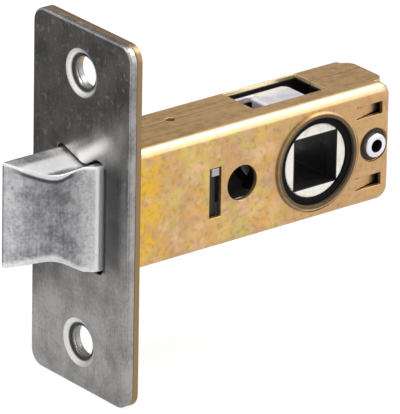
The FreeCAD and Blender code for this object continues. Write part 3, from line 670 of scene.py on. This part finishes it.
@dataclass(frozen=True)
class BrightSteel(Finish):
    """Bright zinc plate on steel: pale, a little violet, with faint rolling marks."""

    pale: Colour = (0.80, 0.78, 0.84)
    dull: Colour = (0.60, 0.59, 0.64)
    shade_black: Colour = (0.020, 0.018, 0.016)
    shade_middle: float = 20.6
    shade_half: float = 1.6
    tab_start: float = 5.3
    rivet: float = 51.2
    rivet_bore: float = 1.02

    def paint(self, graph: FinishGraph) -> None:
        """Draws the plating's uneven brightness, and painted shade on the spring plate inside the case and in
        the hollow rivet's bore.

        Args:
            graph: the finish's node tree.
        """
        rolled = graph.noise(0.3, 4.0, Grain.ALONG_X, 5.0)
        clouds = graph.noise(1.6, 4.0, shift=2.0).step(0.40, 0.66)
        # Painted shade on the spring plate inside the case and in the hollow rivet's bore.
        in_shade = graph.within("X", self.shade_middle, self.shade_half)
        in_shade = in_shade * (0.5 + graph.within("Y", 0.0, self.tab_start) * 0.5)
        bore = graph.radius("XZ", self.rivet, 0.0).step(self.rivet_bore + 0.06, self.rivet_bore)
        in_shade = in_shade.most(bore)
        base = graph.mix(clouds * 0.6, self.pale, self.dull)
        bare_and_highlight = graph.axis("X").step(self.rivet - 5.0, self.rivet - 4.0) * 0.4
        graph.set(base_color=graph.mix(in_shade, base, self.shade_black), metallic=0.55 + bare_and_highlight - in_shade * 0.4)
        graph.set(roughness=0.24 + rolled * 0.14 + in_shade * 0.3)
        graph.bump(rolled, 0.006)


@dataclass(frozen=True)
class CastZinc(Finish):
    """The bolt's zinc casting: tumbled grey, mottled and lightly pitted, duller across its bevel."""

    light: Colour = (0.62, 0.62, 0.63)
    dark: Colour = (0.20, 0.20, 0.215)
    bright: Colour = (0.96, 0.96, 0.96)
    edge_shade: Colour = (0.06, 0.06, 0.065)
    darker_middle: float = -6.0
    darker_half: float = 1.6
    lighter_start: float = -3.8
    lighter_end: float = -0.2
    foot: float = -0.75
    near_side: float = -4.5
    highlight_band: float = 1.2
    highlight_half: float = 1.2
    streak: float = -0.5
    streak_middle: float = -5.0
    streak_half: float = 2.4
    half_height: float = 8.4
    groove_depth: float = 1.7
    groove_far: float = 4.4
    groove_valley: float = -0.9
    groove_near: float = -3.6

    def paint(self, graph: FinishGraph) -> None:
        """Draws the mottling, the tumbling marks and the pits, a band darker across the middle and lighter
        towards the bevel's foot, painted highlights on the edges and the top, and painted shade under the
        bevel's upper edge.

        Args:
            graph: the finish's node tree.
        """
        mottle = graph.noise(2.2, 6.0, shift=4.0)
        marks = graph.noise(0.5, 6.0, shift=9.0)
        pits = graph.noise(0.8, 3.0, shift=15.0).step(0.63, 0.71)
        # Darker across the middle of the bolt.
        worn = graph.within("X", self.darker_middle, self.darker_half, 2.6)
        scratches = graph.noise(0.35, 4.0, Grain.ALONG_Z, 19.0)
        tone = (mottle * 0.45 + marks * 0.35 + scratches * 0.2 - worn * 0.10).step(0.24, 0.66)
        base = graph.mix(tone, self.dark, self.light)
        base = graph.mix(pits * 0.6, base, self.dark)
        # Lighter towards the bevel's foot.
        clean = graph.axis("X").step(self.lighter_start, self.lighter_end) * (0.15 + marks * 0.8)
        base = graph.mix(clean, base, self.bright)
        # Painted shade under the bevel's upper edge, and painted highlights on its edges, its lower rim and
        # the top groove.
        shade_line, bare_and_highlight = self.edges(graph, marks)
        base = graph.mix(bare_and_highlight, graph.mix(shade_line, base, self.edge_shade), self.bright)
        graph.set(base_color=base, metallic=0.92 - bare_and_highlight * 0.55)
        graph.set(roughness=0.27 + marks * 0.16 + pits * 0.15)
        graph.bump(marks * 0.5 + mottle * 0.5 - pits * 0.6, 0.045)

    def edges(self, graph: FinishGraph, marks: Wire) -> Tuple[Wire, Wire]:
        """Marks the painted shade under the bevel's upper edge, and the painted highlights at its edges and
        on the top.

        Args:
            graph: the finish's node tree.
            marks: the tumbling marks.

        Returns:
            The painted shade's share and the painted highlights' share.
        """
        along, across = graph.axis("X"), graph.axis("Y")
        upper, lower, dip = self.depths(graph)
        bevel = graph.facing("X").step(-0.3, -0.5)
        line = upper.step(0.50, 0.70) * upper.step(1.30, 0.95) * dip.step(0.1, 0.7)
        edge = along.step(self.foot - 0.25, self.foot) * across.step(self.near_side, self.near_side - 0.4)
        top = graph.facing("Z").step(0.4, 0.7) * along.step(0.4, -0.1)
        top = top * graph.within("Y", self.highlight_band, self.highlight_half, 1.0)
        # The painted highlight on the top is dimmed along a line near the groove's valley, as painted shade.
        streak = graph.within("Y", self.streak, 0.3, 0.5)
        streak = streak * graph.within("X", self.streak_middle, self.streak_half, 1.6)
        top = top * (1.0 - streak * 0.8) * (0.75 + marks * 0.4)
        rim = bevel * lower.step(1.3, 0.5) * (0.35 + marks * 0.7)
        bare_and_highlight = edge.most(top).most(rim).most(bevel * upper.step(0.6, 0.4) * 0.8)
        return bevel * line * 0.85, bare_and_highlight

    def depths(self, graph: FinishGraph) -> Tuple[Wire, Wire, Wire]:
        """Measures how far a place on the bevel is below its upper edge and above its lower one.

        Args:
            graph: the finish's node tree.

        Returns:
            Both distances, with the grooves followed, and the depth of the groove, in millimetres.
        """
        across, above = graph.axis("Y"), graph.axis("Z")
        from_far = (self.groove_far - across) / (self.groove_far - self.groove_valley)
        from_near = (across - self.groove_near) / (self.groove_valley - self.groove_near)
        dip = from_far.sum("MINIMUM", from_far, from_near).step(0.0, 1.0) * self.groove_depth
        return self.half_height - dip - above, above + self.half_height - dip, dip


@dataclass(frozen=True)
class OiledSpring(Finish):
    """Spring wire, oiled all over."""

    steel: Colour = (0.34, 0.34, 0.36)
    stain: Colour = (0.20, 0.16, 0.12)

    def paint(self, graph: FinishGraph) -> None:
        """Draws the drawn wire's stain.

        Args:
            graph: the finish's node tree.
        """
        stain = graph.noise(1.2, 4.0).step(0.48, 0.70)
        graph.set(base_color=graph.mix(stain, self.steel, self.stain), metallic=1.0)
        graph.set(roughness=0.22 + stain * 0.2)


@dataclass(frozen=True)
class DarkSteel(Finish):
    """Blackened sintered steel: fine pores, oiled. fine pores under oil."""

    black: Colour = (0.012, 0.012, 0.013)
    worn: Colour = (0.07, 0.07, 0.075)

    def paint(self, graph: FinishGraph) -> None:
        """Draws the pores and the worn sheen.

        Args:
            graph: the finish's node tree.
        """
        pores = graph.noise(0.18, 3.0)
        worn = graph.noise(2.6, 4.0, shift=6.0).step(0.52, 0.74)
        graph.set(base_color=graph.mix(worn * 0.6, self.black, self.worn), metallic=0.6)
        graph.set(roughness=0.34 + pores * 0.2)
        graph.bump(pores, 0.02)


@dataclass(frozen=True)
class Acetal(Finish):
    """A moulded acetal, with a fine matt grain and a little grime, and painted shade that blackens the
    spindle's hole.
    """

    clean: Colour = (0.94, 0.91, 0.83)
    grime: Colour = (0.66, 0.60, 0.48)
    painted_shade: Colour = (0.008, 0.008, 0.008)
    rough: float = 0.38
    shine: float = 0.4
    spindle: float = 40.0
    square_half: float = 4.2

    def paint(self, graph: FinishGraph) -> None:
        """Draws the grain, the grime and the painted shade in the spindle's hole.

        Args:
            graph: the finish's node tree.
        """
        grain = graph.noise(0.16, 3.0)
        grime = graph.noise(1.5, 5.0, shift=8.0).step(0.50, 0.72)
        base = graph.mix(grime * 0.5, self.clean, self.grime)
        # Painted shade: the walls of the spindle's square hole drawn black.
        across = graph.within("X", self.spindle, self.square_half, 0.04)
        upward = graph.within("Z", 0.0, self.square_half, 0.04)
        graph.set(base_color=graph.mix(across * upward, base, self.painted_shade), metallic=0.0)
        graph.set(specular_ior_level=self.shine, roughness=self.rough + grain * 0.15)
        graph.bump(grain, 0.008)


FINISHES: Tuple[Finish, ...] = (
    SatinNickel("satin_nickel"),
    YellowZinc("yellow_zinc"),
    BrightSteel("bright_steel"),
    CastZinc("cast_zinc"),
    OiledSpring("spring_steel"),
    DarkSteel("dark_steel"),
    Acetal("pale_acetal"),
    Acetal("black_acetal", clean=(0.003, 0.003, 0.003), grime=(0.008, 0.007, 0.006), rough=0.6, shine=0.1),
)


class Bench:
    """Bench work that several pieces share, done with Blender's own tools."""

    merge = 0.002 * MM
    flat_angle = math.radians(0.4)
    segments = 3

    @staticmethod
    def only(piece: bpy.types.Object) -> None:
        """Selects one piece alone and makes it active.

        Args:
            piece: the piece.
        """
        bpy.ops.object.select_all(action="DESELECT")
        piece.select_set(True)
        bpy.context.view_layer.objects.active = piece

    @classmethod
    def apply(cls, piece: bpy.types.Object, kind: str, **settings: object) -> None:
        """Adds a modifier to a piece and applies it.

        Args:
            piece: the piece.
            kind: the modifier's type.
            settings: its properties.
        """
        cls.only(piece)
        modifier = piece.modifiers.new(kind.lower(), kind)
        for key, setting in settings.items():
            setattr(modifier, key, setting)
        bpy.ops.object.modifier_apply(modifier=modifier.name)

    @classmethod
    def smooth(cls, piece: bpy.types.Object, corner: float) -> None:
        """Shades a piece smooth up to its corners, with its flat faces kept flat.

        Args:
            piece: the piece.
            corner: the least angle of a corner.
        """
        cls.only(piece)
        bpy.ops.object.shade_smooth_by_angle(angle=corner)
        cls.apply(piece, "WEIGHTED_NORMAL", keep_sharp=True, use_face_influence=True)

    @classmethod
    def softened(cls, node: str, rounding: float, corner: float) -> bpy.types.Object:
        """Copies a solid of the part and takes the sharpness off its corners.

        Args:
            node: the solid's node.
            rounding: the width of the rounding.
            corner: the least angle of a corner.

        Returns:
            The softened copy.
        """
        source = frame["nodes"][node]
        piece = bpy.data.objects.new(f"{node}_finished", source.data.copy())
        bpy.context.scene.collection.objects.link(piece)
        cls.only(piece)
        bpy.ops.mesh.customdata_custom_splitnormals_clear()
        bpy.ops.object.mode_set(mode="EDIT")
        bpy.ops.mesh.select_all(action="SELECT")
        bpy.ops.mesh.remove_doubles(threshold=cls.merge)
        bpy.ops.mesh.dissolve_limited(angle_limit=cls.flat_angle)
        bpy.ops.object.mode_set(mode="OBJECT")
        cls.apply(
            piece,
            "BEVEL",
            width=rounding,
            segments=cls.segments,
            limit_method="ANGLE",
            angle_limit=corner,
            use_clamp_overlap=False,
            face_strength_mode="FSTR_AFFECTED",
        )
        cls.smooth(piece, corner)
        return piece


@dataclass
class SubAssembly:
    """A group of pieces that are built, ridden on their body and dressed together."""

    finishes: Dict[str, bpy.types.Material]
    pieces: List[bpy.types.Object] = field(default_factory=list)
    corner: float = math.radians(32.0)

    def slots(self) -> Dict[str, str]:
        """Returns the record's material slot of each node."""
        return {part["node"]: part["material_slot"] for part in frame["record"]["subparts"]}

    def soften(self, body: Body, node: str, rounding: float) -> bpy.types.Object:
        """Puts a softened copy in place of a node.

        Args:
            body: the body that it moves with.
            node: the node that it stands for.
            rounding: the width of its edges' rounding.

        Returns:
            The copy.
        """
        piece = Bench.softened(node, rounding, self.corner)
        self.keep(piece, body, node)
        return piece

    def keep(self, piece: bpy.types.Object, body: Body, node: str) -> None:
        """Rides a piece on its body in place of a node, with that node's finish.

        Args:
            piece: the new piece.
            body: the body that it moves with.
            node: the node that it stands for.
        """
        slot = self.slots()[node]
        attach(piece, body.value)
        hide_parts(node)
        self.dress(piece, slot)
        self.pieces.append(piece)

    def dress(self, piece: bpy.types.Object, slot: str) -> None:
        """Gives a piece one finish all over."""
        piece.data.materials.clear()
        piece.data.materials.append(self.finishes[slot])

    def dress_node(self, node: str) -> None:
        """Gives a node of the part its finish as it stands.

        Args:
            node: the node.
        """
        solid = frame["nodes"][node]
        for place in solid.material_slots:
            place.material = self.finishes[self.slots()[node]]
        self.pieces.append(solid)

    def build(self) -> List[bpy.types.Object]:
        """Makes the pieces and returns them."""
        raise NotImplementedError


@dataclass
class Forend(SubAssembly):
    """The satin faceplate and the yellow fixing plate behind it, with their rivets."""

    faceplate_edge: float = 0.12 * MM
    fixing_edge: float = 0.12 * MM

    def build(self) -> List[bpy.types.Object]:
        """Softens both plates and dresses the rivets.

        Returns:
            The pieces.
        """
        self.soften(Body.CASE, "faceplate", self.faceplate_edge)
        self.soften(Body.CASE, "fixing_plate", self.fixing_edge)
        self.dress_node("front_rivets")
        return self.pieces


@dataclass
class Case(SubAssembly):
    """The two pressed halves, what holds them together and the bushes in their sides."""

    corner: float = math.radians(62.0)
    sheet_edge: float = 0.09 * MM
    rivet_edge: float = 0.08 * MM
    bush_edge: float = 0.10 * MM

    def build(self) -> List[bpy.types.Object]:
        """Softens the halves, the hollow rivet and the bushes.

        Returns:
            The pieces.
        """
        for node in ("case_near_half", "case_far_half"):
            self.soften(Body.CASE, node, self.sheet_edge)
        for node in ("follower_bush_near", "follower_bush_far"):
            self.soften(Body.CASE, node, self.bush_edge)
        self.soften(Body.CASE, "rear_rivet", self.rivet_edge)
        self.dress_node("rear_spacer")
        return self.pieces


@dataclass
class BoltCarriage(SubAssembly):
    """The cast bolt and the folded yoke that draws it back."""

    bolt_edge: float = 0.30 * MM
    yoke_edge: float = 0.12 * MM

    def build(self) -> List[bpy.types.Object]:
        """Softens the bolt and the yoke, and dresses their rivets.

        Returns:
            The pieces.
        """
        self.soften(Body.BOLT, "latch_bolt", self.bolt_edge)
        self.soften(Body.BOLT, "yoke", self.yoke_edge)
        self.dress_node("yoke_rivets")
        return self.pieces


@dataclass
class SpringSet(SubAssembly):
    """The wound spring, the plate that backs it and the pin inside it."""

    wire: float = 0.8 * MM
    coil_radius: float = 2.9 * MM
    start: float = 0.52 * MM
    end: float = 19.88 * MM
    stroke: float = 10.4 * MM
    closed_turns: int = 1
    closed_pitch: float = 1.04
    open_turns: int = 7
    ring_sides: int = 14
    steps: int = 40
    plate_edge: float = 0.12 * MM

    def coil(self, start: float, pitch: float, turns: int) -> bpy.types.Object:
        """Winds wire round the X axis.

        Args:
            start: where the middle of the wire starts, along X.
            pitch: how far each turn goes along X.
            turns: how many turns there are.

        Returns:
            The wound stretch.
        """
        bpy.ops.object.select_all(action="DESELECT")
        bpy.ops.mesh.primitive_circle_add(
            vertices=self.ring_sides,
            radius=self.wire / 2,
            location=(start, 0, self.coil_radius),
            rotation=(math.pi / 2, 0, 0),
        )
        piece = bpy.context.active_object
        bpy.ops.object.transform_apply(location=True, rotation=True, scale=True)
        Bench.apply(
            piece,
            "SCREW",
            axis="X",
            angle=2 * math.pi,
            screw_offset=pitch,
            iterations=turns,
            steps=self.steps,
            render_steps=self.steps,
            use_merge_vertices=False,
            use_smooth_shade=True,
        )
        return piece

    def build(self) -> List[bpy.types.Object]:
        """Winds the spring with closed ends, and dresses the plate and the pin.

        Returns:
            The pieces.
        """
        first = self.start + self.wire / 2
        closed = self.wire * self.closed_pitch
        span = self.end - self.wire / 2 - first - 2 * closed * self.closed_turns
        pitch = span / self.open_turns
        stretches = [
            self.coil(first, closed, self.closed_turns),
            self.coil(first + closed * self.closed_turns, pitch, self.open_turns),
            self.coil(first + closed * self.closed_turns + span, closed, self.closed_turns),
        ]
        bpy.ops.object.select_all(action="DESELECT")
        for stretch in stretches:
            stretch.select_set(True)
        spring = stretches[0]
        bpy.context.view_layer.objects.active = spring
        bpy.ops.object.join()
        spring.name = "bolt_spring_wound"
        bpy.ops.object.mode_set(mode="EDIT")
        bpy.ops.mesh.select_all(action="SELECT")
        bpy.ops.mesh.remove_doubles(threshold=Bench.merge)
        bpy.ops.mesh.select_all(action="DESELECT")
        bpy.ops.mesh.select_non_manifold()
        bpy.ops.mesh.edge_face_add()
        bpy.ops.mesh.select_all(action="SELECT")
        bpy.ops.mesh.normals_make_consistent(inside=False)
        bpy.ops.object.mode_set(mode="OBJECT")
        self.keep(spring, Body.CASE, "bolt_spring")
        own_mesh(spring)
        self.soften(Body.CASE, "spring_plate", self.plate_edge)
        self.dress_node("spring_guide_pin")
        return self.pieces


@dataclass
class FollowerSet(SubAssembly):
    """The dark core with its lobes, and the pale caps at its ends."""

    core_edge: float = 0.06 * MM

    def build(self) -> List[bpy.types.Object]:
        """Softens the core and dresses the caps.

        Returns:
            The pieces.
        """
        self.soften(Body.FOLLOWER, "follower", self.core_edge)
        for node in ("follower_cap_near", "follower_cap_far"):
            self.dress_node(node)
        return self.pieces


@dataclass(frozen=True)
class Softbox:
    """One square lamp of the studio."""

    name: str
    place: Triple
    size: float
    watts: float


@dataclass(frozen=True)
class Card:
    """A plain card that the metal reflects, out of the camera's sight."""

    name: str
    place: Triple
    faces: Triple
    size: float
    shade: float


@dataclass
class Studio:
    """Floor, light and camera."""

    floor_half: float = 3.0
    floor_shade: float = 0.80
    fibre_size: float = 40.0
    fibre_shade: float = 0.98
    paper_rough: float = 0.9
    shadow_share: float = 0.18
    floor_glow: float = 1.11
    fill: float = 0.36
    image: Tuple[int, int] = (400, 414)
    focal_pixels: float = 6703.12
    sensor: float = 36.0
    camera_place: Triple = (-0.55635, -0.72250, 0.38193)
    camera_right: Triple = (0.78461, -0.61975, 0.01687)
    camera_up: Triple = (0.22698, 0.31246, 0.92242)
    camera_back: Triple = (-0.57695, -0.71991, 0.38583)
    lamps: Tuple[Softbox, ...] = (
        Softbox("key", (0.33, -0.12, 0.42), 0.32, 2.3),
        Softbox("side_fill", (0.40, -0.50, 0.10), 0.40, 0.7),
        Softbox("front_fill", (-0.28, 0.04, 0.45), 0.30, 1.5),
    )
    cards: Tuple[Card, ...] = (
        Card("front_card", (-0.120, 0.150, -0.0282), (0.0, 0.0, 1.0), 0.23, 0.09),
        Card("bevel_card", (-0.052, -0.062, -0.0282), (0.0, 0.0, 1.0), 0.05, 0.05),
        Card("rear_card", (0.26, 0.30, 0.16), (-0.56, -0.74, -0.37), 0.46, 0.32),
    )

    def build(self) -> None:
        """Sets up the whole studio."""
        bpy.context.scene.view_settings.view_transform = "Standard"
        self.lay_floor()
        self.light_world()
        for lamp in self.lamps:
            self.hang(lamp)
        for card in self.cards:
            self.stand(card)
        self.place_camera()

    def lay_floor(self) -> None:
        """Lays a white floor at the part's lowest point, which keeps a soft shadow."""
        low = CAD_BOX[0].z
        bpy.ops.object.select_all(action="DESELECT")
        bpy.ops.mesh.primitive_plane_add(size=2 * self.floor_half, location=(0, 0, low))
        floor = bpy.context.active_object
        floor.name = "floor"
        graph = FinishGraph("floor_paper")
        fibres = graph.noise(self.fibre_size, 2.0)
        white, shaded = (self.floor_shade,) * 3, (self.floor_shade * self.fibre_shade,) * 3
        graph.set(base_color=graph.mix(fibres, white, shaded), roughness=self.paper_rough)
        glow = graph.node("ShaderNodeEmission", {}, {"Color": (1.0, 1.0, 1.0), "Strength": self.floor_glow})
        share = graph.seen() * (1 - self.shadow_share)
        paper = Wire(graph, graph.shader.outputs[0])
        both = graph.node("ShaderNodeMixShader", {}, {0: share, 1: paper, 2: glow})
        graph.feed(graph.first("OUTPUT_MATERIAL").inputs["Surface"], both)
        floor.data.materials.append(graph.material)

    def light_world(self) -> None:
        """Makes the world white where it is seen, and a plain fill for everything else."""
        world = bpy.data.worlds.new("studio")
        world.use_nodes = True
        bpy.context.scene.world = world
        graph = NodeGraph(world.node_tree)
        background = graph.first("BACKGROUND")
        graph.feed(background.inputs["Color"], (1.0, 1.0, 1.0))
        graph.feed(background.inputs["Strength"], graph.seen() * (1.0 - self.fill) + self.fill)

    @staticmethod
    def turned(place: Triple, back: Vector) -> Matrix:
        """Returns the place and turn of a thing whose own Z axis points along a direction."""
        return Matrix.Translation(place) @ back.to_track_quat("Z", "Y").to_matrix().to_4x4()

    def hang(self, lamp: Softbox) -> None:
        """Hangs one softbox, facing the part.

        Args:
            lamp: the softbox.
        """
        light = bpy.data.lights.new(lamp.name, "AREA")
        light.size = lamp.size
        light.energy = lamp.watts
        holder = bpy.data.objects.new(lamp.name, light)
        bpy.context.scene.collection.objects.link(holder)
        middle = (CAD_BOX[0] + CAD_BOX[1]) / 2
        holder.matrix_world = self.turned(lamp.place, Vector(lamp.place) - middle)

    def stand(self, card: Card) -> None:
        """Stands one card where only reflections see it.

        Args:
            card: the card.
        """
        bpy.ops.object.select_all(action="DESELECT")
        bpy.ops.mesh.primitive_plane_add(size=card.size)
        board = bpy.context.active_object
        board.name = card.name
        board.matrix_world = self.turned(card.place, Vector(card.faces))
        graph = FinishGraph(card.name)
        graph.set(base_color=(card.shade,) * 3, roughness=self.paper_rough)
        board.data.materials.append(graph.material)
        board.visible_camera = False
        board.visible_diffuse = False
        board.visible_shadow = False

    def place_camera(self) -> None:
        """Places the camera as the photograph was taken."""
        camera = bpy.data.cameras.new("photo_camera")
        camera.sensor_width = self.sensor
        camera.lens = self.focal_pixels * self.sensor / max(self.image)
        holder = bpy.data.objects.new("photo_camera", camera)
        bpy.context.scene.collection.objects.link(holder)
        columns = Matrix((self.camera_right, self.camera_up, self.camera_back)).transposed()
        holder.matrix_world = Matrix.Translation(self.camera_place) @ columns.to_4x4()
        bpy.context.scene.camera = holder


def main() -> None:
    """Makes the finishes, then each sub-assembly, then the studio."""
    logging.basicConfig(level=logging.INFO, format="%(name)s: %(message)s")
    finishes = {finish.slot: finish.make() for finish in FINISHES}
    for group in (Forend, Case, BoltCarriage, SpringSet, FollowerSet):
        for piece in group(finishes).build():
            LOG.info("%s: %s, %d faces", group.__name__, piece.name, len(piece.data.polygons))
    Studio().build()


if __name__ == "__main__":
    main()
